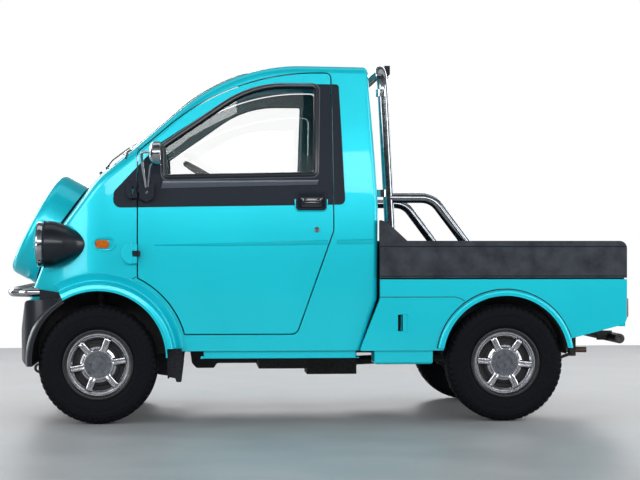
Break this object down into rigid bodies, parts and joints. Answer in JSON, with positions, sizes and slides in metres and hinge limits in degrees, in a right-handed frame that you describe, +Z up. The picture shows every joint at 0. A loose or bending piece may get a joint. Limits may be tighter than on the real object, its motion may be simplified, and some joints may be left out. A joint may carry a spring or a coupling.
{
  "type": "kei truck",
  "caption": "Small cab-forward pickup with a cowled nose, spare wheel under a drum cover, bullet headlamps, roll hoop and short drop-tail bed.",
  "frame": {"origin": "centre of the overall box at ground level", "axes": "+X forward, +Y to the truck's left, +Z up"},
  "size_m": [2.8769, 1.516, 1.6739],
  "materials": {
    "body_paint": "metallic turquoise",
    "black_paint": "satin black",
    "black_plastic": "grained dark moulding",
    "chrome": "polished",
    "glass": "clear",
    "amber_lens": "amber lens",
    "red_lens": "red lens",
    "tyre_rubber": "black",
    "rim_steel": "black rim with bright cover",
    "cast_grey": "cast",
    "frame_black": "chassis black",
    "exhaust_steel": "heat-stained",
    "seat_cloth": "dark cloth",
    "flap_rubber": "black"
  },
  "bodies": {
    "truck": {"cab_nose": "body_paint", "cab_back": "body_paint", "cab_roof": "body_paint", "cab_sides": "body_paint", "cab_floor": "body_paint", "cab_glass": "glass", "front_fenders": "body_paint", "front_bumper": "black_plastic", "hinge_brackets": "body_paint", "guard_bar": "chrome", "spare_cover": "body_paint", "spare_carrier": "black_plastic", "headlight_pods": "black_plastic", "headlight_lenses": "glass", "indicators": "amber_lens", "window_band_ends": "black_plastic", "dashboard": "black_plastic", "steering_wheel": "black_plastic", "seats": "seat_cloth", "chassis_frame": "frame_black", "engine_block": "cast_grey", "fuel_tank": "frame_black", "exhaust": "exhaust_steel", "rear_axle": "frame_black", "front_suspension": "frame_black", "bed_lower": "body_paint", "bed_tub": "black_plastic", "rear_lamps": "red_lens", "roll_hoop": "chrome", "rear_bumper": "frame_black", "mud_flaps": "flap_rubber"},
    "knuckle_left": {"knuckle_left": "cast_grey"},
    "knuckle_right": {"knuckle_right": "cast_grey"},
    "door_left": {"door_left": "body_paint", "door_glass_left": "glass", "door_trim_left": "black_plastic", "mirror_left": "chrome"},
    "door_right": {"door_right": "body_paint", "door_glass_right": "glass", "door_trim_right": "black_plastic", "mirror_right": "chrome"},
    "tailgate": {"tailgate": "black_plastic"},
    "wheel_front_left": {"tyre_front_left": "tyre_rubber", "wheel_front_left": "rim_steel"},
    "wheel_front_right": {"tyre_front_right": "tyre_rubber", "wheel_front_right": "rim_steel"},
    "wheel_rear_left": {"tyre_rear_left": "tyre_rubber", "wheel_rear_left": "rim_steel"},
    "wheel_rear_right": {"tyre_rear_right": "tyre_rubber", "wheel_rear_right": "rim_steel"}
  },
  "joints": [
    {"name": "steer_left", "type": "hinge", "parent": "truck", "child": "knuckle_left", "pos_m": [0.99652, 0.538, 0.267], "axis": [0, 0, 1], "range_deg": [-30, 30]},
    {"name": "steer_right", "type": "hinge", "parent": "truck", "child": "knuckle_right", "pos_m": [0.99652, -0.538, 0.267], "axis": [0, 0, 1], "range_deg": [-30, 30]},
    {"name": "roll_front_left", "type": "hinge", "parent": "knuckle_left", "child": "wheel_front_left", "pos_m": [0.99652, 0.555, 0.267], "axis": [0, 1, 0], "continuous": true},
    {"name": "roll_front_right", "type": "hinge", "parent": "knuckle_right", "child": "wheel_front_right", "pos_m": [0.99652, -0.555, 0.267], "axis": [0, 1, 0], "continuous": true},
    {"name": "roll_rear_left", "type": "hinge", "parent": "truck", "child": "wheel_rear_left", "pos_m": [-0.84348, 0.55, 0.267], "axis": [0, 1, 0], "continuous": true},
    {"name": "roll_rear_right", "type": "hinge", "parent": "truck", "child": "wheel_rear_right", "pos_m": [-0.84348, -0.55, 0.267], "axis": [0, 1, 0], "continuous": true},
    {"name": "door_left_hinge", "type": "hinge", "parent": "truck", "child": "door_left", "pos_m": [0.83152, 0.626, 0.9], "axis": [0, 0, -1], "range_deg": [0, 65]},
    {"name": "door_right_hinge", "type": "hinge", "parent": "truck", "child": "door_right", "pos_m": [0.83152, -0.626, 0.9], "axis": [0, 0, 1], "range_deg": [0, 65]},
    {"name": "tailgate_hinge", "type": "hinge", "parent": "truck", "child": "tailgate", "pos_m": [-1.39448, 0, 0.626], "axis": [0, -1, 0], "range_deg": [0, 90]}
  ],
  "couplings": [
    {"joint": "steer_right", "follows": "steer_left", "ratio": 1}
  ]
}
